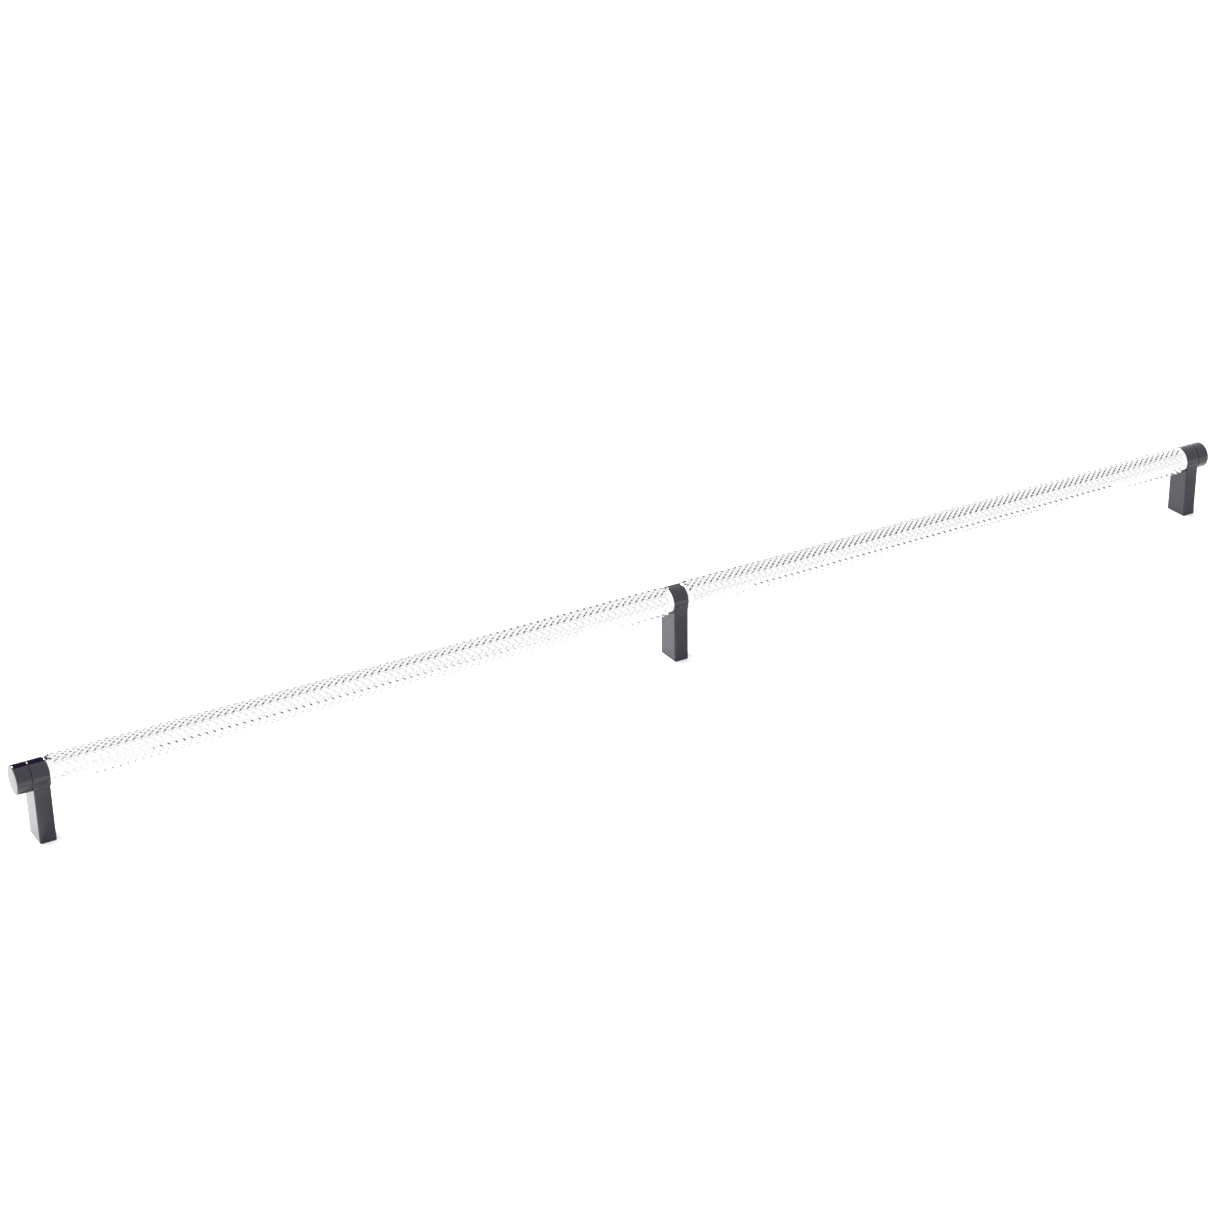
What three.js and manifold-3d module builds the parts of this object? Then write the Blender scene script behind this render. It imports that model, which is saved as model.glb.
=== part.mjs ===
// Three-post bar pull. Two knurled bars are joined end to end through the round heads of three
// posts by threaded studs, and an end cap closes each end. A grub screw in the back of each head
// locks its stud. Each post has a tapped hole in its foot for a screw that comes through the
// panel. Millimetres, +Z up. The origin is on the mounting plane, under the middle of the bar:
// X runs along the bar and Y across it, and the feet stand on Z = 0.

import * as THREE from 'three';
import { mergeVertices } from 'three/addons/utils/BufferGeometryUtils.js';
import Module from 'manifold-3d';

const wasm = await Module();
wasm.setup();

// ---- Driving dimensions ----

const POST_SPACING = 304.8; // centre to centre of neighbouring posts, 12 inches
const AXIS_HEIGHT = 29.0; // from the mounting plane to the axis of the bar
const BAR_DIAMETER = 12.7; // plain turned bar, 1/2 inch
const KNURL_RAISE = 0.3; // how far the knurl's crests stand above the plain bar
const LAND_LENGTH = 1.0; // plain bar left at each end of the knurl
const LAND_SLOPE = 0.4; // length over which the knurl rises from the land
const BAR_CHAMFER = 0.3; // on the two end edges of a bar

const POST_THICKNESS = 7.3; // stem and head, along the bar
const HEAD_STEP = 0.1; // heads and caps are this much larger than the plain bar, in radius
const HEAD_PROUD = 0.45; // how far the round head stands out past the stem's flat faces
const POST_EDGE = 0.45; // bevel around both sides of a post

const CAP_LENGTH = 6.4; // end cap, along the bar
const CAP_FLOOR = 1.6; // metal left behind the cap's blind hole
const CAP_CHAMFER = 0.6; // on the outer edge of a cap
const CAP_INNER_CHAMFER = 0.2; // on the edge that meets the head

const STUD_DIAMETER = 6.0; // double-ended stud
const STUD_CHAMFER = 0.6;
const STUD_IN_BAR = 11.0; // how far a stud reaches into a bar
const BLIND_END_GAP = 0.8; // from a stud's end to the bottom of its hole

const GRUB_DIAMETER = 3.0; // socket set screw in the back of each head
const GRUB_SUNK = 0.35; // from the head's back to the outer end of the screw
const GRUB_POINT = 0.5; // height of its cone point
const GRUB_SOCKET_FLATS = 1.5; // hexagon key size
const GRUB_SOCKET_DEPTH = 1.3;

const FOOT_SCREW_DIAMETER = 3.5; // tapped hole in the foot, at the tips of its thread
const FOOT_HOLE_DEPTH = 15.0;
const FOOT_COUNTERSINK = 0.5; // at the mouth of the foot's hole

// ---- Clearances ----

const FACE_GAP = 0.1; // between faces that butt along the bar
const STUD_CLEARANCE = 0.15; // radial, around a stud
const GRUB_CLEARANCE = 0.12; // radial, around a grub screw
const GRUB_POINT_GAP = 0.15; // from the cone point to the stud
const CUT_OVERRUN = 1.0; // how far a cutting tool passes the face it opens

// ---- Worked out from them ----

const LAND_RADIUS = BAR_DIAMETER / 2;
const CREST_RADIUS = LAND_RADIUS + KNURL_RAISE;
const HEAD_RADIUS = LAND_RADIUS + HEAD_STEP;
const STEM_HALF_DEPTH = HEAD_RADIUS - HEAD_PROUD;
const STUD_RADIUS = STUD_DIAMETER / 2;
const STUD_HOLE_RADIUS = STUD_RADIUS + STUD_CLEARANCE;
const POST_FACE = POST_THICKNESS / 2;
const BAR_LENGTH = POST_SPACING - POST_THICKNESS - 2 * FACE_GAP;
const BAR_HOLE_DEPTH = STUD_IN_BAR + BLIND_END_GAP;
const CAP_HOLE_DEPTH = CAP_LENGTH - CAP_FLOOR;
const STUD_IN_CAP = CAP_HOLE_DEPTH - BLIND_END_GAP;
const HEAD_PASSAGE = POST_THICKNESS + 2 * FACE_GAP; // what a stud crosses between two pieces

const ROUND_SEGMENTS = 36; // sides of every turned piece and of the head's outline
const HOLE_SEGMENTS = 24;
const DRILL_POINT = Math.tan(THREE.MathUtils.degToRad(31)); // cone at the bottom of a drilled hole

// ---- Finishes ----

const polishedBar = { color: 0xdcdcda, roughness: 0.12, metalness: 1.0 };
const blackPost = { color: 0x1a181c, roughness: 0.22, metalness: 0.0 };
const zincSteel = { color: 0xa7a9ab, roughness: 0.35, metalness: 1.0 };
const blackSteel = { color: 0x2b2b2d, roughness: 0.45, metalness: 1.0 };

// ---- Solids, and cutting them ----

function toSolid(geometry) {
  const bare = geometry.index ? geometry.toNonIndexed() : geometry.clone();
  bare.deleteAttribute('normal');
  bare.deleteAttribute('uv');
  const merged = mergeVertices(bare, 1e-4);
  const vertProperties = new Float32Array(merged.attributes.position.array);
  const triVerts = new Uint32Array(merged.index.array);
  return new wasm.Manifold(new wasm.Mesh({ numProp: 3, vertProperties, triVerts }));
}

function toGeometry(solid) {
  const mesh = solid.getMesh();
  const geometry = new THREE.BufferGeometry();
  const positions = new Float32Array(mesh.vertProperties);
  geometry.setAttribute('position', new THREE.BufferAttribute(positions, 3));
  geometry.setIndex(new THREE.BufferAttribute(new Uint32Array(mesh.triVerts), 1));
  geometry.computeVertexNormals();
  return geometry;
}

function cut(geometry, tools) {
  let solid = toSolid(geometry);
  for (const tool of tools) solid = solid.subtract(toSolid(tool));
  return toGeometry(solid);
}

// A turned solid. The outline is a list of [radius, distance along the axis] that starts and
// ends on the axis. The axis lies along +X afterwards.
function turned(outline, segments = ROUND_SEGMENTS) {
  const points = outline.map(([radius, along]) => new THREE.Vector2(radius, along));
  const geometry = new THREE.LatheGeometry(points, segments);
  return geometry.rotateZ(-Math.PI / 2);
}

// ---- Posts ----

// Side outline of a post, in its Y and Z: a flat-sided stem that runs up into a round head.
// It is drawn smaller by the bevel, which grows it back to its full size.
function postOutline() {
  const half = STEM_HALF_DEPTH - POST_EDGE;
  const radius = HEAD_RADIUS - POST_EDGE;
  const start = -Math.acos(half / radius); // where the flat side meets the head
  const shape = new THREE.Shape();
  shape.moveTo(-half, POST_EDGE);
  shape.lineTo(half, POST_EDGE);
  shape.absarc(0, AXIS_HEIGHT, radius, start, Math.PI - start, false);
  shape.closePath();
  return shape;
}

function post() {
  const blank = new THREE.ExtrudeGeometry(postOutline(), {
    depth: POST_THICKNESS - 2 * POST_EDGE,
    bevelEnabled: true,
    bevelThickness: POST_EDGE,
    bevelSize: POST_EDGE,
    bevelSegments: 1,
    curveSegments: ROUND_SEGMENTS,
  });
  blank.translate(0, 0, POST_EDGE - POST_FACE);
  blank.rotateX(Math.PI / 2).rotateZ(Math.PI / 2); // outline into Y and Z, thickness along X
  return cut(blank, [studPassage(), footHole(), grubHole()]);
}

function studPassage() {
  const half = POST_FACE + CUT_OVERRUN;
  const drill = turned([
    [0, -half],
    [STUD_HOLE_RADIUS, -half],
    [STUD_HOLE_RADIUS, half],
    [0, half],
  ], HOLE_SEGMENTS);
  return drill.translate(0, 0, AXIS_HEIGHT);
}

function footHole() {
  const radius = FOOT_SCREW_DIAMETER / 2;
  const mouth = radius + FOOT_COUNTERSINK;
  const drill = turned([
    [0, -CUT_OVERRUN],
    [mouth + CUT_OVERRUN, -CUT_OVERRUN],
    [mouth + CUT_OVERRUN, -CUT_OVERRUN / 2],
    [mouth, 0],
    [radius, FOOT_COUNTERSINK],
    [radius, FOOT_HOLE_DEPTH],
    [0, FOOT_HOLE_DEPTH + radius * DRILL_POINT],
  ], HOLE_SEGMENTS);
  return drill.rotateY(-Math.PI / 2); // from along +X to along +Z
}

// The grub screw's hole runs from the stud passage out through the head's back, along +Y.
function grubHole() {
  const radius = GRUB_DIAMETER / 2 + GRUB_CLEARANCE;
  const drill = turned([
    [0, 0],
    [radius, 0],
    [radius, HEAD_RADIUS + CUT_OVERRUN],
    [0, HEAD_RADIUS + CUT_OVERRUN],
  ], HOLE_SEGMENTS);
  return drill.rotateZ(Math.PI / 2).translate(0, 0, AXIS_HEIGHT);
}

// ---- Bars and caps ----

// A bar with its centre at the origin, and a blind tapped hole in each end. The knurled length
// is a plain cylinder at the height of the crests.
function bar() {
  const half = BAR_LENGTH / 2;
  const holeEnd = half - BAR_HOLE_DEPTH;
  const tip = holeEnd - STUD_HOLE_RADIUS * DRILL_POINT;
  const rightHalf = [
    [CREST_RADIUS, half - LAND_LENGTH - LAND_SLOPE],
    [LAND_RADIUS, half - LAND_LENGTH],
    [LAND_RADIUS, half - BAR_CHAMFER],
    [LAND_RADIUS - BAR_CHAMFER, half],
    [STUD_HOLE_RADIUS, half],
    [STUD_HOLE_RADIUS, holeEnd],
    [0, tip],
  ];
  const leftHalf = rightHalf.map(([radius, along]) => [radius, -along]).reverse();
  return turned([...leftHalf, ...rightHalf]);
}

// An end cap with its open face on X = 0 and its closed end along +X.
function endCap() {
  return turned([
    [0, CAP_HOLE_DEPTH],
    [STUD_HOLE_RADIUS, CAP_HOLE_DEPTH],
    [STUD_HOLE_RADIUS, 0],
    [HEAD_RADIUS - CAP_INNER_CHAMFER, 0],
    [HEAD_RADIUS, CAP_INNER_CHAMFER],
    [HEAD_RADIUS, CAP_LENGTH - CAP_CHAMFER],
    [HEAD_RADIUS - CAP_CHAMFER, CAP_LENGTH],
    [0, CAP_LENGTH],
  ]);
}

// ---- Fasteners ----

// A stud from X = 0 to X = length.
function stud(length) {
  const tip = STUD_RADIUS - STUD_CHAMFER;
  return turned([
    [0, 0],
    [tip, 0],
    [STUD_RADIUS, STUD_CHAMFER],
    [STUD_RADIUS, length - STUD_CHAMFER],
    [tip, length],
    [0, length],
  ], HOLE_SEGMENTS);
}

// A grub screw whose cone point looks along -Y at the stud, and whose socket opens along +Y.
function grubScrew() {
  const inner = STUD_RADIUS + GRUB_POINT_GAP;
  const outer = HEAD_RADIUS - GRUB_SUNK;
  const radius = GRUB_DIAMETER / 2;
  const body = turned([
    [0, inner],
    [radius - GRUB_POINT, inner],
    [radius, inner + GRUB_POINT],
    [radius, outer],
    [0, outer],
  ], HOLE_SEGMENTS);
  body.rotateZ(Math.PI / 2).translate(0, 0, AXIS_HEIGHT);
  const depth = Math.min(GRUB_SOCKET_DEPTH, (outer - inner) / 2);
  const key = new THREE.CylinderGeometry(
    GRUB_SOCKET_FLATS / Math.sqrt(3), GRUB_SOCKET_FLATS / Math.sqrt(3), depth + CUT_OVERRUN, 6);
  key.translate(0, outer - depth + (depth + CUT_OVERRUN) / 2, AXIS_HEIGHT);
  return cut(body, [key]);
}

// ---- Assembly ----

const pull = new THREE.Group();

function place(name, geometry, finish, x, z = AXIS_HEIGHT, turn = 0) {
  const mesh = new THREE.Mesh(geometry, new THREE.MeshStandardMaterial(finish));
  mesh.name = name;
  mesh.position.set(x, 0, z);
  mesh.rotation.z = turn;
  pull.add(mesh);
}

const postPlaces = { left: -POST_SPACING, middle: 0, right: POST_SPACING };
for (const [side, x] of Object.entries(postPlaces)) {
  place(`${side}_post`, post(), blackPost, x, 0);
  place(`${side}_grub_screw`, grubScrew(), blackSteel, x, 0);
}

place('left_bar', bar(), polishedBar, -POST_SPACING / 2);
place('right_bar', bar(), polishedBar, POST_SPACING / 2);

const capFace = POST_SPACING + POST_FACE + FACE_GAP;
place('left_end_cap', endCap(), blackPost, -capFace, AXIS_HEIGHT, Math.PI);
place('right_end_cap', endCap(), blackPost, capFace);

const middleStudLength = HEAD_PASSAGE + 2 * STUD_IN_BAR;
const endStudLength = HEAD_PASSAGE + STUD_IN_BAR + STUD_IN_CAP;
place('middle_stud', stud(middleStudLength), zincSteel, -middleStudLength / 2);
place('left_stud', stud(endStudLength), zincSteel, -capFace - STUD_IN_CAP);
place('right_stud', stud(endStudLength), zincSteel, capFace + STUD_IN_CAP - endStudLength);

export default pull;
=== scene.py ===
# %% [markdown]
# # A three-post knurled bar pull
#
# The real object is a long, straight pull for a heavy door or an appliance. Two bars with a
# diamond knurl, plated in polished nickel, butt end to end on three small posts in gloss black.
# A stud runs through each post's round head, a grub screw in the back of the head locks it, and
# a cap closes each end.
#
# The sizes and the places were settled in CAD. This lesson loads that model as a fixed frame and
# makes the finished surfaces around it, so nothing here is moved or resized to fit.

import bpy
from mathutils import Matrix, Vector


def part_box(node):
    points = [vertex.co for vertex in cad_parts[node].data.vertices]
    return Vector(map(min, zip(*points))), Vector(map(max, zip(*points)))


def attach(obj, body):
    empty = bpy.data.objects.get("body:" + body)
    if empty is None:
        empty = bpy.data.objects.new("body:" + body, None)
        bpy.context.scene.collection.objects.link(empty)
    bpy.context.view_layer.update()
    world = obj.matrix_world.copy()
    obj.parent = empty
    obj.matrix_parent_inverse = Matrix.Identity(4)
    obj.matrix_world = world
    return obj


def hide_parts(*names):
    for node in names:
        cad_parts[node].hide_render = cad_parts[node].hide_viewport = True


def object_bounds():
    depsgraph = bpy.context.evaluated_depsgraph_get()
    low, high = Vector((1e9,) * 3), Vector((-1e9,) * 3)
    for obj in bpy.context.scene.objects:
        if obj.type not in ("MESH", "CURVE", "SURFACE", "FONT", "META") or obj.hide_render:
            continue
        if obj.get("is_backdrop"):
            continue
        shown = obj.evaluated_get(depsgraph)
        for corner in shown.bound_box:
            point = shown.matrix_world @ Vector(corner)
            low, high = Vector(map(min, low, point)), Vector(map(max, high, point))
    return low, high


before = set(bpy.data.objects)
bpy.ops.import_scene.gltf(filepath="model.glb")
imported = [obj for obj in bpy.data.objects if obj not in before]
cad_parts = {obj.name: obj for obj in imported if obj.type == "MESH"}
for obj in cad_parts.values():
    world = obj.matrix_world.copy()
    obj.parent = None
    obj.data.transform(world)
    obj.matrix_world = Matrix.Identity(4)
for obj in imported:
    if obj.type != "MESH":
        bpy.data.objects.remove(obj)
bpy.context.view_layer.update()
print("CAD nodes:", ", ".join(sorted(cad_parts)))

# %% Import the rest of what the lesson uses
import math

import bmesh
import bpy
from mathutils import Matrix, Vector

MM = 0.001
X_AXIS = Vector((1, 0, 0))
X_TO_Y = Matrix.Rotation(math.radians(90), 3, "Z")
X_TO_Z = Matrix.Rotation(math.radians(-90), 3, "Y")
print("one millimetre is", MM, "Blender units")

# %% [markdown]
# ## Read the sizes from the frame
#
# Every CAD node tells its own box. The radius of the bar, the height of its axis and the faces
# of the posts all come from those boxes. What a box can't tell is named below, each beside the
# piece that first needs it: the knurl, the holes, the threads and the small roundings.

# %% Measure the bar, the posts and the fasteners
bar_low, bar_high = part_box("left_bar")
post_low, post_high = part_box("middle_post")
stud_low, stud_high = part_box("middle_stud")
grub_low, grub_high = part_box("middle_grub_screw")

AXIS_Z = (bar_low.z + bar_high.z) / 2
CREST_RADIUS = (bar_high.z - bar_low.z) / 2
HEAD_RADIUS = (post_high.y - post_low.y) / 2
POST_HALF = (post_high.x - post_low.x) / 2
STUD_RADIUS = (stud_high.z - stud_low.z) / 2
GRUB_RADIUS = (grub_high.x - grub_low.x) / 2
foot_corners = [v.co.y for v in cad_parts["middle_post"].data.vertices if v.co.z < 0.1 * MM]
STEM_HALF_DEPTH = max(foot_corners)
print(f"axis {AXIS_Z / MM:.1f} mm up, knurl {2 * CREST_RADIUS / MM:.1f} mm across,",
      f"stem {2 * POST_HALF / MM:.1f} by {2 * STEM_HALF_DEPTH / MM:.1f} mm")

# %% Name the sizes that several pieces share
STUD_HOLE_RADIUS = STUD_RADIUS + 0.15 * MM
GRUB_HOLE_RADIUS = GRUB_RADIUS + 0.12 * MM
BLIND_END_GAP = 0.8 * MM
DRILL_POINT = math.tan(math.radians(31))
ROUND_STEPS = 72
HOLE_STEPS = 48
SAME_PLACE = 1e-6
print(f"stud holes {2 * STUD_HOLE_RADIUS / MM:.1f} mm, grub holes {2 * GRUB_HOLE_RADIUS / MM:.2f} mm")

# %% [markdown]
# ## Small helpers
#
# Each piece is shaped in a bmesh with Blender's own mesh operators, then turned into an object
# that sits at the origin with its place in its mesh. Three calls tie it to the frame: which body
# it rides on, which plain CAD node it stands for, and which finish it takes.
#
# Holes are cut with exact booleans. A modifier could stay live, but freezing it into the mesh
# leaves nothing to go wrong later, and lets the shading be set on the final faces.

# %% Turn a bmesh into a finished piece
def make_piece(name, bm, material, node):
    mesh = bpy.data.meshes.new(name)
    bm.to_mesh(mesh)
    bm.free()
    mesh.materials.append(material)
    piece = bpy.data.objects.new(name, mesh)
    bpy.context.scene.collection.objects.link(piece)
    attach(piece, "root")
    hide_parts(node)
    return piece


def make_cutter(bm):
    mesh = bpy.data.meshes.new("cutter")
    bm.to_mesh(mesh)
    bm.free()
    cutter = bpy.data.objects.new("cutter", mesh)
    bpy.context.scene.collection.objects.link(cutter)
    return cutter


def freeze(piece):
    """Replace a piece's mesh with what its modifiers make of it."""
    depsgraph = bpy.context.evaluated_depsgraph_get()
    mesh = bpy.data.meshes.new_from_object(piece.evaluated_get(depsgraph))
    piece.modifiers.clear()
    piece.data = mesh


def cut_away(piece, cutters):
    for cutter in cutters:
        modifier = piece.modifiers.new("cut", "BOOLEAN")
        modifier.operation = "DIFFERENCE"
        modifier.solver = "EXACT"
        modifier.object = cutter
    freeze(piece)
    for cutter in cutters:
        bpy.data.objects.remove(cutter)


def shade(piece):
    """Smooth rounded surfaces, keep real edges crisp, and keep flat faces flat."""
    for polygon in piece.data.polygons:
        polygon.use_smooth = True
    piece.data.set_sharp_from_angle(angle=math.radians(30))
    weighted = piece.modifiers.new("flat_faces", "WEIGHTED_NORMAL")
    weighted.keep_sharp = True
    weighted.weight = 60
    freeze(piece)


print("helpers ready")

# %% [markdown]
# ## A lathe, a drill and a thread
#
# Nearly everything here is round, so most pieces start as an outline spun about the X axis, as on
# a lathe. A cylinder primitive would do for a plain rod, but an outline also takes the chamfers,
# the cups and the drill points. The merged doubles close the seam where the spin meets itself.
#
# A thread is the same spin, but it also moves along the axis. Its depth, flanks and crest are
# given as shares of its pitch, so that one recipe serves the studs and the grub screws.

# %% Turn and drill about an axis along X
def turn(bm, outline, steps=ROUND_STEPS):
    """Spin an outline of (distance along X, radius) once around the X axis."""
    points = [bm.verts.new((along, 0, radius)) for along, radius in outline]
    edges = [bm.edges.new(pair) for pair in zip(points, points[1:])]
    bmesh.ops.spin(bm, geom=points + edges, cent=(0, 0, 0), axis=X_AXIS, dvec=(0, 0, 0),
                   angle=2 * math.pi, steps=steps, use_merge=True)
    bmesh.ops.remove_doubles(bm, verts=bm.verts[:], dist=SAME_PLACE)
    bmesh.ops.recalc_face_normals(bm, faces=bm.faces[:])


def shift(bm, offset):
    bmesh.ops.translate(bm, verts=bm.verts[:], vec=offset)


def stand(bm, rotation, place):
    """Turn a shape that was made along X, then move it to its place."""
    bmesh.ops.rotate(bm, verts=bm.verts[:], cent=(0, 0, 0), matrix=rotation)
    shift(bm, place)


def rod(radius, start, stop, steps=ROUND_STEPS):
    """A plain round cutter along X."""
    bm = bmesh.new()
    turn(bm, [(start, 0), (start, radius), (stop, radius), (stop, 0)], steps)
    return bm


def set_radius(vert, radius):
    """Move a vertex straight out from the X axis to a radius."""
    across = Vector((0, vert.co.y, vert.co.z))
    vert.co = Vector((vert.co.x, 0, 0)) + across.normalized() * radius


print("lathe and drill ready")

# %% Cut a thread about the X axis
THREAD_STEPS = 32
THREAD_DEPTH = 0.61
THREAD_FLANK = 0.3125
THREAD_CREST = 0.125


def add_thread(bm, start, stop, crest, pitch, chamfer):
    """A helical thread from start to stop along X, closed at both ends."""
    root = crest - THREAD_DEPTH * pitch
    crest_end = THREAD_FLANK + THREAD_CREST
    outline = [(0, root), (THREAD_FLANK, crest), (crest_end, crest),
               (crest_end + THREAD_FLANK, root), (1, root)]
    points = [bm.verts.new((start + (along - 1) * pitch, 0, radius)) for along, radius in outline]
    edges = [bm.edges.new(pair) for pair in zip(points, points[1:])]
    turns = math.ceil((stop - start) / pitch) + 1
    bmesh.ops.spin(bm, geom=points + edges, cent=(0, 0, 0), axis=X_AXIS,
                   dvec=(pitch / THREAD_STEPS, 0, 0), angle=2 * math.pi * turns,
                   steps=THREAD_STEPS * turns)
    bmesh.ops.remove_doubles(bm, verts=bm.verts[:], dist=SAME_PLACE)
    for end, outward in ((start, -1), (stop, 1)):
        geom = bm.verts[:] + bm.edges[:] + bm.faces[:]
        bmesh.ops.bisect_plane(bm, geom=geom, plane_co=(end, 0, 0), plane_no=(outward, 0, 0),
                               clear_outer=True)
    bmesh.ops.holes_fill(bm, edges=[e for e in bm.edges if e.is_boundary])
    for vert in bm.verts:
        inside = min(vert.co.x - start, stop - vert.co.x)
        limit = crest - max(0, chamfer - inside)
        if math.hypot(vert.co.y, vert.co.z) > limit:
            set_radius(vert, limit)
    bmesh.ops.recalc_face_normals(bm, faces=bm.faces[:])


print("a thread has", THREAD_STEPS, "steps a turn")

# %% [markdown]
# ## The finishes
#
# Four finishes cover the whole pull. Polished nickel is a bright neutral metal whose roughness
# wanders a little, with the finest of turning marks across it. The black of the posts is a thick
# gloss coat over a casting: very dark, with a faint violet cast and the slight ripple that such
# a coat dries with. The studs are bright zinc-plated steel, and the grub screws are black oxide.
#
# A flat colour and one roughness would look like plastic in both cases. So one recipe lets both
# wander between two values, and a fine bump is added afterwards. All patterns are worked out from
# the piece's own Object coordinates, in metres, so a noise scale of 400 means ripples about
# 2.5 mm apart.

# %% Make a material from a base, a roughness range and a ripple
def make_material(name, colour, other_colour, metallic, roughness, ior=1.5):
    """A Principled material whose colour and roughness wander between two values."""
    material = bpy.data.materials.new(name)
    material.use_nodes = True
    nodes = material.node_tree.nodes
    links = material.node_tree.links
    shader = nodes["Principled BSDF"]
    shader.inputs["Metallic"].default_value = metallic
    shader.inputs["IOR"].default_value = ior
    coordinates = nodes.new("ShaderNodeTexCoord")
    cloud = nodes.new("ShaderNodeTexNoise")
    cloud.inputs["Scale"].default_value = 90
    cloud.inputs["Detail"].default_value = 4
    links.new(coordinates.outputs["Object"], cloud.inputs["Vector"])
    tint = nodes.new("ShaderNodeMix")
    tint.data_type = "RGBA"
    tint.inputs["A"].default_value = (*colour, 1)
    tint.inputs["B"].default_value = (*other_colour, 1)
    links.new(cloud.outputs["Fac"], tint.inputs["Factor"])
    links.new(tint.outputs["Result"], shader.inputs["Base Color"])
    polish = nodes.new("ShaderNodeMapRange")
    polish.inputs["From Min"].default_value = 0.3
    polish.inputs["From Max"].default_value = 0.7
    polish.inputs["To Min"].default_value = roughness[0]
    polish.inputs["To Max"].default_value = roughness[1]
    links.new(cloud.outputs["Fac"], polish.inputs["Value"])
    links.new(polish.outputs["Result"], shader.inputs["Roughness"])
    return material


def add_ripple(material, stretch, scale, strength, distance):
    """A fine bump. Stretch squeezes the noise along X, Y and Z."""
    nodes = material.node_tree.nodes
    links = material.node_tree.links
    mapping = nodes.new("ShaderNodeMapping")
    mapping.inputs["Scale"].default_value = stretch
    links.new(nodes["Texture Coordinate"].outputs["Object"], mapping.inputs["Vector"])
    ripple = nodes.new("ShaderNodeTexNoise")
    ripple.inputs["Scale"].default_value = scale
    ripple.inputs["Detail"].default_value = 2
    links.new(mapping.outputs["Vector"], ripple.inputs["Vector"])
    bump = nodes.new("ShaderNodeBump")
    bump.inputs["Strength"].default_value = strength
    bump.inputs["Distance"].default_value = distance
    links.new(ripple.outputs["Fac"], bump.inputs["Height"])
    links.new(bump.outputs["Normal"], nodes["Principled BSDF"].inputs["Normal"])


print("finish recipe ready")

# %% Mix the four finishes
nickel = make_material("polished_nickel", (0.66, 0.66, 0.66), (0.61, 0.61, 0.615), 1.0,
                       (0.07, 0.14))
add_ripple(nickel, (60, 1, 1), 100, 0.15, 0.02 * MM)

gloss_black = make_material("gloss_black_coat", (0.005, 0.003, 0.010), (0.007, 0.004, 0.013), 0.0,
                            (0.05, 0.10), 1.48)
add_ripple(gloss_black, (1, 1, 1), 420, 0.12, 0.05 * MM)

zinc = make_material("zinc_plate", (0.60, 0.62, 0.64), (0.50, 0.52, 0.56), 1.0, (0.22, 0.38))
add_ripple(zinc, (1, 1, 1), 900, 0.2, 0.03 * MM)

black_oxide = make_material("black_oxide", (0.05, 0.05, 0.055), (0.035, 0.035, 0.04), 1.0,
                            (0.30, 0.48))
add_ripple(black_oxide, (1, 1, 1), 900, 0.2, 0.03 * MM)
print("finishes:", nickel.name, gloss_black.name, zinc.name, black_oxide.name)

# %% [markdown]
# ## The knurled bars
#
# A knurling tool rolls two sets of crossing helical grooves into the bar, and what stands
# between them is a field of small diamonds. A bump map could fake that, but its outline would
# stay smooth and its facets would never mirror the room, so the diamonds are real here.
#
# The recipe needs no list of points. An edge along the bar is cut into rows and spun into a tube
# of squares. Poking every square adds a vertex in its middle, and dissolving the squares' own
# edges leaves exactly the crossed pattern of a knurl. Each diamond is then inset and raised, and
# inset once more to take the sharpness off its crest. At each end the tube grows on as the
# smooth land, the chamfer, the end face and the tapped hole for the stud.

# %% Name the sizes of the bar
LAND_RADIUS = 6.35 * MM
LAND_LENGTH = 1.0 * MM
BAR_CHAMFER = 0.3 * MM
STUD_IN_BAR = 11.0 * MM
KNURL_STARTS = 16
KNURL_PITCH = 3.4 * MM
KNURL_DEPTH = 0.42 * MM
KNURL_SLOPE = 0.66 * MM
KNURL_ROUND = 0.06 * MM
print("the knurl has", KNURL_STARTS, "grooves each way and a diamond every",
      round(KNURL_PITCH / MM, 2), "mm")

# %% Roll a field of diamonds
def roll_knurl(bm, first, last, root):
    """A tube of flat diamonds at the radius of the grooves."""
    start = bm.verts.new((first, 0, root))
    stop = bm.verts.new((last, 0, root))
    edge = bm.edges.new((start, stop))
    rows = round((last - first) / KNURL_PITCH)
    bmesh.ops.subdivide_edges(bm, edges=[edge], cuts=rows - 1)
    bmesh.ops.spin(bm, geom=bm.verts[:] + bm.edges[:], cent=(0, 0, 0), axis=X_AXIS,
                   dvec=(0, 0, 0), angle=2 * math.pi, steps=KNURL_STARTS, use_merge=True)
    bmesh.ops.remove_doubles(bm, verts=bm.verts[:], dist=SAME_PLACE)
    squares = [e for e in bm.edges if not e.is_boundary]
    bmesh.ops.poke(bm, faces=bm.faces[:])
    for vert in bm.verts:
        set_radius(vert, root)
    bmesh.ops.dissolve_edges(bm, edges=squares, use_verts=False)
    return rows


def raise_diamonds(bm):
    """Inset and lift every whole diamond. The half ones at the ends stay as the run-out."""
    for face in bm.faces:
        face.smooth = True
    diamonds = [f for f in bm.faces if len(f.verts) == 4]
    shoulder = CREST_RADIUS - KNURL_ROUND / 3
    for width, radius in ((KNURL_SLOPE, shoulder), (KNURL_ROUND, CREST_RADIUS)):
        sides = bmesh.ops.inset_individual(bm, faces=diamonds, thickness=width,
                                           use_even_offset=True)["faces"]
        for side in sides:
            side.smooth = False
        for diamond in diamonds:
            for vert in diamond.verts:
                set_radius(vert, radius)
    return len(diamonds)


print("the grooves are", round(KNURL_DEPTH / MM, 2), "mm deep")

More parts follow.
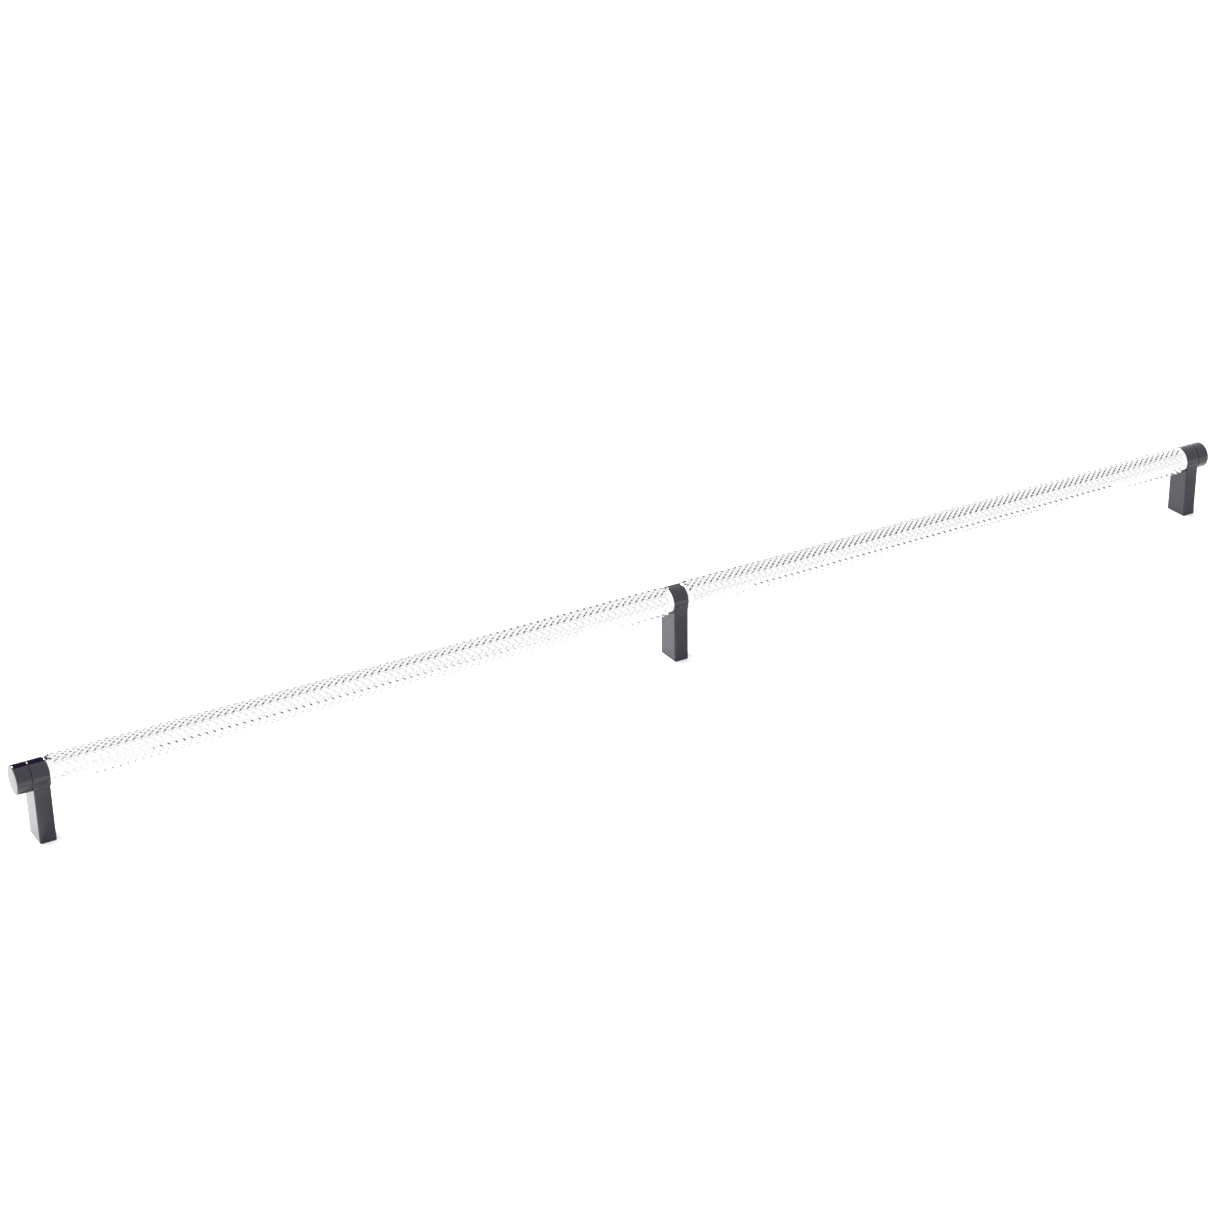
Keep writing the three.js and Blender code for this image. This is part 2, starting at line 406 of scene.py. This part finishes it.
# %% Grow a tube on by one ring
def grow(bm, edges, x, radius):
    """Extrude a ring of edges and set the new ring's place along X and its radius."""
    made = bmesh.ops.extrude_edge_only(bm, edges=edges)["geom"]
    for face in made:
        if isinstance(face, bmesh.types.BMFace):
            face.smooth = True
    for vert in made:
        if isinstance(vert, bmesh.types.BMVert):
            vert.co.x = x
            set_radius(vert, radius)
    return [e for e in made if isinstance(e, bmesh.types.BMEdge)]


def end_ring(bm, end):
    """The open edges of the tube nearest to one end of the bar."""
    return [e for e in bm.edges if e.is_boundary and abs(e.verts[0].co.x - end) < 2 * LAND_LENGTH]


print("rings ready")

# %% Grow the land, the chamfer and the tapped hole
def finish_bar_end(bm, end, inward):
    """Everything from the knurl's last ring to the hole's tip. Inward is +1 or -1 along X."""
    bmesh.ops.subdivide_edges(bm, edges=end_ring(bm, end), cuts=ROUND_STEPS // KNURL_STARTS - 1)
    ring = end_ring(bm, end)
    for vert in {v for e in ring for v in e.verts}:
        set_radius(vert, LAND_RADIUS)
    hole_end = end + inward * (STUD_IN_BAR + BLIND_END_GAP)
    for x, radius in (
        (end + inward * BAR_CHAMFER, LAND_RADIUS),
        (end, LAND_RADIUS - BAR_CHAMFER),
        (end, STUD_HOLE_RADIUS),
        (hole_end, STUD_HOLE_RADIUS),
    ):
        ring = grow(bm, ring, x, radius)
    cone = bmesh.ops.extrude_edge_only(bm, edges=ring)["geom"]
    rim = [v for v in cone if isinstance(v, bmesh.types.BMVert)]
    tip = hole_end + inward * STUD_HOLE_RADIUS * DRILL_POINT
    bmesh.ops.pointmerge(bm, verts=rim, merge_co=(tip, 0, 0))


print("a stud reaches", round(STUD_IN_BAR / MM, 1), "mm into each bar")

# %% [markdown]
# ## Shading a knurl
#
# A diamond's crest, the lands and the hole are facets of round surfaces, and the slopes between
# the diamonds are truly flat. Averaged normals would smear the two together and make the crests
# look like cushions. So the round faces are given the exact normals of a cylinder about the bar's
# axis, and the flat ones keep their own.

# %% Give round faces the normals of a cylinder
def round_normals(piece, centre_z):
    mesh = piece.data
    normals = []
    for polygon in mesh.polygons:
        facing = polygon.normal
        out = Vector((0, polygon.center.y, polygon.center.z - centre_z))
        spread = math.hypot(facing.y, facing.z) * (1 if out.dot(facing) > 0 else -1)
        for index in polygon.vertices:
            place = mesh.vertices[index].co
            radial = Vector((0, place.y, place.z - centre_z)).normalized()
            rounded = Vector((facing.x, 0, 0)) + radial * spread
            normals.append(rounded if polygon.use_smooth else facing)
    mesh.normals_split_custom_set([tuple(normal) for normal in normals])


print("cylinder normals ready")

# %% Make both bars
def make_bar(node):
    low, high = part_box(node)
    bm = bmesh.new()
    root = CREST_RADIUS - KNURL_DEPTH
    rows = roll_knurl(bm, low.x + LAND_LENGTH, high.x - LAND_LENGTH, root)
    diamonds = raise_diamonds(bm)
    finish_bar_end(bm, low.x, 1)
    finish_bar_end(bm, high.x, -1)
    bmesh.ops.recalc_face_normals(bm, faces=bm.faces[:])
    shift(bm, (0, 0, AXIS_Z))
    piece = make_piece(f"{node}_knurled", bm, nickel, node)
    round_normals(piece, AXIS_Z)
    print(piece.name, "has", diamonds, "diamonds in", rows, "rows")


for node in ("left_bar", "right_bar"):
    make_bar(node)

# %% [markdown]
# ## The posts
#
# Seen from the end of the bar, a post is a flat-sided stem that runs up into a round head a
# little wider than itself. A box joined to a cylinder would need a boolean and leave a messy
# seam. Instead that outline is drawn by spinning one vertex round the head, and the filled
# outline is extruded through the post's thickness. A rounded bevel on the rim gives the soft edge
# of a coated casting. The holes are cut last, so that the bevel never meets them.

# %% Draw the outline and give it thickness
def post_blank(x):
    """A post with sharp edges, with its foot on the floor at a place along X."""
    bm = bmesh.new()
    drop = math.sqrt(HEAD_RADIUS ** 2 - STEM_HALF_DEPTH ** 2)
    shoulder = AXIS_Z - drop
    foot = bm.verts.new((x - POST_HALF, STEM_HALF_DEPTH, 0))
    top = bm.verts.new((x - POST_HALF, STEM_HALF_DEPTH, shoulder))
    bm.edges.new((foot, top))
    sweep = math.pi + 2 * math.asin(drop / HEAD_RADIUS)
    last = bmesh.ops.spin(bm, geom=[top], cent=(x, 0, AXIS_Z), axis=X_AXIS, dvec=(0, 0, 0),
                          angle=sweep, steps=ROUND_STEPS)["geom_last"]
    last = [v for v in last if isinstance(v, bmesh.types.BMVert)]
    far_foot = bmesh.ops.extrude_vert_indiv(bm, verts=last)["verts"][0]
    far_foot.co.z = 0
    bmesh.ops.contextual_create(bm, geom=[foot, far_foot])
    bmesh.ops.contextual_create(bm, geom=bm.edges[:])
    made = bmesh.ops.extrude_face_region(bm, geom=bm.faces[:])["geom"]
    moved = [v for v in made if isinstance(v, bmesh.types.BMVert)]
    bmesh.ops.translate(bm, verts=moved, vec=(2 * POST_HALF, 0, 0))
    bmesh.ops.recalc_face_normals(bm, faces=bm.faces[:])
    return bm


print("outline ready for stems", round(2 * POST_HALF / MM, 1), "mm thick")

# %% Round the rims of both sides
POST_EDGE = 0.45 * MM


def soften_post(bm):
    rim = [e for e in bm.edges if abs(e.verts[0].co.x - e.verts[1].co.x) < SAME_PLACE]
    bmesh.ops.bevel(bm, geom=rim, offset=POST_EDGE, offset_type="OFFSET", segments=5,
                    profile=0.5, affect="EDGES", material=-1)


print("rims take a", round(POST_EDGE / MM, 2), "mm rounding")

# %% Shape the three holes of a post
FOOT_HOLE_RADIUS = 1.75 * MM
FOOT_HOLE_DEPTH = 15 * MM
FOOT_COUNTERSINK = 0.5 * MM


def post_cutters(x):
    """The stud's passage along X, the screw hole up the foot and the grub screw's hole."""
    reach = 2 * POST_HALF
    passage = rod(STUD_HOLE_RADIUS, x - reach, x + reach)
    shift(passage, (0, 0, AXIS_Z))
    foot = bmesh.new()
    turn(foot, [
        (-FOOT_COUNTERSINK, 0),
        (-FOOT_COUNTERSINK, FOOT_HOLE_RADIUS + 2 * FOOT_COUNTERSINK),
        (FOOT_COUNTERSINK, FOOT_HOLE_RADIUS),
        (FOOT_HOLE_DEPTH, FOOT_HOLE_RADIUS),
        (FOOT_HOLE_DEPTH + FOOT_HOLE_RADIUS * DRILL_POINT, 0),
    ], HOLE_STEPS)
    stand(foot, X_TO_Z, (x, 0, 0))
    grub = rod(GRUB_HOLE_RADIUS, 0, HEAD_RADIUS * 1.5, HOLE_STEPS)
    stand(grub, X_TO_Y, (x, 0, AXIS_Z))
    return [make_cutter(bm) for bm in (passage, foot, grub)]


print("the foot's hole is", round(FOOT_HOLE_DEPTH / MM, 1), "mm deep")

# %% Make the three posts
def make_post(node):
    low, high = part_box(node)
    x = (low.x + high.x) / 2
    bm = post_blank(x)
    soften_post(bm)
    piece = make_piece(f"{node}_cast", bm, gloss_black, node)
    cut_away(piece, post_cutters(x))
    shade(piece)
    print(piece.name, "has", len(piece.data.polygons), "faces")


for node in ("left_post", "middle_post", "right_post"):
    make_post(node)

# %% [markdown]
# ## The end caps
#
# A cap is a short turned cup in the same black, screwed onto the end of the stud. It is spun from
# its outline with sharp corners, and then bevels round its edges: a wide one outside, which
# catches a thin line of light, and a narrow one where it meets the head.

# %% Round one edge of a cap
def round_edge(bm, x, radius, width):
    rim = [e for e in bm.edges if all(
        abs(v.co.x - x) < SAME_PLACE and abs(math.hypot(v.co.y, v.co.z) - radius) < SAME_PLACE
        for v in e.verts)]
    bmesh.ops.bevel(bm, geom=rim, offset=width, offset_type="OFFSET", segments=5, profile=0.5,
                    affect="EDGES", material=-1)


print("edge rounding ready")

# %% Turn the caps
CAP_OUTER_EDGE = 0.8 * MM
CAP_INNER_EDGE = 0.2 * MM
STUD_IN_CAP = 4.0 * MM


def make_cap(node):
    low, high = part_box(node)
    outward = 1 if low.x > 0 else -1
    open_face = low.x if outward > 0 else high.x
    length = high.x - low.x
    radius = (high.z - low.z) / 2
    depth = STUD_IN_CAP + BLIND_END_GAP
    outline = [(depth, 0), (depth, STUD_HOLE_RADIUS), (0, STUD_HOLE_RADIUS), (0, radius),
               (length, radius), (length, 0)]
    bm = bmesh.new()
    turn(bm, [(open_face + outward * along, r) for along, r in outline])
    round_edge(bm, open_face + outward * length, radius, CAP_OUTER_EDGE)
    round_edge(bm, open_face, radius, CAP_INNER_EDGE)
    bmesh.ops.recalc_face_normals(bm, faces=bm.faces[:])
    shift(bm, (0, 0, AXIS_Z))
    piece = make_piece(f"{node}_turned", bm, gloss_black, node)
    shade(piece)
    print(piece.name, "is", round(length / MM, 1), "mm long")


for node in ("left_end_cap", "right_end_cap"):
    make_cap(node)

# %% [markdown]
# ## The fasteners
#
# The studs and grub screws are threaded for their whole length. They are hidden once the pull is
# together, but a real thread costs little and shows when the pull is taken apart. The thread's
# outline is one pitch long. Spun while it moves along the axis by one pitch a turn, it tiles into
# a helix, which is then cut off square at both ends and closed.

# %% Thread the studs
STUD_PITCH = 1.0 * MM
STUD_CHAMFER = 0.6 * MM


def make_stud(node):
    low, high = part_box(node)
    bm = bmesh.new()
    add_thread(bm, low.x, high.x, STUD_RADIUS, STUD_PITCH, STUD_CHAMFER)
    shift(bm, (0, 0, AXIS_Z))
    piece = make_piece(f"{node}_threaded", bm, zinc, node)
    shade(piece)
    print(piece.name, "is", round((high.x - low.x) / MM, 1), "mm long")


for node in ("left_stud", "middle_stud", "right_stud"):
    make_stud(node)

# %% Thread the grub screws and cut their sockets
GRUB_PITCH = 0.5 * MM
GRUB_CHAMFER = 0.35 * MM
KEY_FLATS = 1.5 * MM
SOCKET_DEPTH = 1.3 * MM


def make_grub(node):
    low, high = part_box(node)
    place = ((low.x + high.x) / 2, 0, AXIS_Z)
    bm = bmesh.new()
    add_thread(bm, low.y, high.y, GRUB_RADIUS, GRUB_PITCH, GRUB_CHAMFER)
    stand(bm, X_TO_Y, place)
    piece = make_piece(f"{node}_threaded", bm, black_oxide, node)
    key_radius = KEY_FLATS / 2 / math.cos(math.radians(30))
    key = rod(key_radius, high.y - SOCKET_DEPTH, high.y + 1 * MM, 6)
    stand(key, X_TO_Y, place)
    cut_away(piece, [make_cutter(key)])
    shade(piece)
    print(piece.name, "has", len(piece.data.polygons), "faces")


for node in ("left_grub_screw", "middle_grub_screw", "right_grub_screw"):
    make_grub(node)

# %% [markdown]
# ## The stage
#
# The pull stands on its feet on a plain white floor in a bright, even room, with one soft lamp
# behind it on the left that lights the sides of the posts.
#
# Polished metal shows only what it mirrors, so in an all-white room the knurl would vanish. A
# studio hangs dark cards just out of view to draw lines in such metal, and the same is done here.
# A low wide card and a tall narrower one stand well behind the pull: the slopes of the diamonds
# that face up and back mirror them as slanting dark strokes along the bar's upper side. A small
# card stands nearer for the far end of the bar. A black strip on the floor before each bar is
# painted shadow: it stands in for the bar's own shadow on the floor, and the metal mirrors it as a
# faint dashed line along the bar's lower side. The strips stop short of the posts, so that the
# gloss black doesn't mirror them. Painted strokes would stay put as the view turns, but these move
# over the metal as real reflections do.

# %% Make a matt sheet
def make_sheet(name, size, place, facing, colour):
    """A flat sheet with its front towards one direction."""
    bm = bmesh.new()
    bmesh.ops.create_grid(bm, x_segments=1, y_segments=1, size=0.5)
    bmesh.ops.scale(bm, verts=bm.verts[:], vec=(size[0], size[1], 1))
    stand(bm, facing.to_track_quat("Z", "Y").to_matrix(), place)
    mesh = bpy.data.meshes.new(name)
    bm.to_mesh(mesh)
    bm.free()
    sheet = bpy.data.objects.new(name, mesh)
    bpy.context.scene.collection.objects.link(sheet)
    material = bpy.data.materials.new(name)
    material.use_nodes = True
    shader = material.node_tree.nodes["Principled BSDF"]
    shader.inputs["Base Color"].default_value = (*colour, 1)
    shader.inputs["Roughness"].default_value = 0.9
    shader.inputs["Specular IOR Level"].default_value = 0
    mesh.materials.append(material)
    sheet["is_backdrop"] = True
    return sheet


def show_in_mirrors_only(sheet):
    sheet.visible_camera = False
    sheet.visible_diffuse = False
    sheet.visible_shadow = False


print("sheets ready")

# %% Lay the floor and stand the dark cards behind the pull
UPWARDS = Vector((0, 0, 1))
FORWARDS = Vector((0, -1, 0))
CARD_GREY = (0.02, 0.02, 0.02)

make_sheet("floor", (12, 12), (0, 0, -0.05 * MM), UPWARDS, (0.9, 0.9, 0.9))
for name, size, place in (
    ("dark_card", (2.6, 2.9), (0.50, 3.0, 1.75)),
    ("tall_card", (1.4, 8.0), (1.10, 3.0, 6.0)),
    ("near_card", (0.2, 0.5), (0.49, 0.5, 0.35)),
):
    card = make_sheet(name, size, place, FORWARDS, CARD_GREY)
    show_in_mirrors_only(card)
    print(name, "is", size[0], "by", size[1], "m")

# %% Lay a strip of painted shadow on the floor before each bar
SHADOW_STRIP_WIDTH = 9 * MM
SHADOW_STRIP_MARGIN = 40 * MM

for name, forward in (("left_bar", 16.5 * MM), ("right_bar", 12.5 * MM)):
    low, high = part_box(name)
    size = (high.x - low.x - 2 * SHADOW_STRIP_MARGIN, SHADOW_STRIP_WIDTH)
    place = ((low.x + high.x) / 2, -forward, 0.3 * MM)
    # Painted shadow: a black strip, seen only in reflections, stands in for the bar's shadow on the
    # floor.
    shadow_strip = make_sheet(f"strip_{name}", size, place, UPWARDS, (0, 0, 0))
    show_in_mirrors_only(shadow_strip)
    print(shadow_strip.name, "is", round(size[0] / MM), "mm long")

# %% Light the room
lamp_data = bpy.data.lights.new("back_softbox", "AREA")
lamp_data.shape = "SQUARE"
lamp_data.size = 0.8
lamp_data.energy = 150
lamp = bpy.data.objects.new("back_softbox", lamp_data)
lamp_place = Vector((-1.1, 1.9, 1.3))
lamp_aim = (-lamp_place).to_track_quat("-Z", "Y").to_matrix().to_4x4()
lamp.matrix_world = Matrix.Translation(lamp_place) @ lamp_aim
bpy.context.scene.collection.objects.link(lamp)

world = bpy.data.worlds.new("bright_room")
world.use_nodes = True
background = world.node_tree.nodes["Background"]
background.inputs["Color"].default_value = (1, 1, 1, 1)
background.inputs["Strength"].default_value = 1.5
bpy.context.scene.world = world
bpy.context.scene.view_settings.view_transform = "Standard"
print("the lamp is", round(lamp_place.length, 2), "m from the pull")

# %% [markdown]
# ## The camera
#
# The camera looks down along the pull from beyond its left end, through a long lens, so that the
# bar climbs across the frame and the far post looks smaller than the near one. A hand-held camera
# is never quite level, so it rolls by a degree about its own line of sight.

# %% Place the camera
CAMERA_PLACE = Vector((-592.8, -951.3, 569.4)) * MM
CAMERA_TARGET = Vector((-35.7, 0.0, 34.0)) * MM
CAMERA_ROLL = math.radians(-0.91)

camera_data = bpy.data.cameras.new("camera")
camera_data.sensor_width = 36
camera_data.lens = 80.95
camera_data.clip_end = 50
camera = bpy.data.objects.new("camera", camera_data)
bpy.context.scene.collection.objects.link(camera)
aim = (CAMERA_TARGET - CAMERA_PLACE).to_track_quat("-Z", "Y").to_matrix().to_4x4()
camera.matrix_world = Matrix.Translation(CAMERA_PLACE) @ aim @ Matrix.Rotation(CAMERA_ROLL, 4, "Z")
bpy.context.scene.camera = camera
print("camera", round((CAMERA_TARGET - CAMERA_PLACE).length, 3), "m from its target")

# %% [markdown]
# ## The finished box
#
# The finished surfaces have to fill the same box as the CAD model, so their box is measured.

# %% Measure the box of the finished surfaces
low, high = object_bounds()
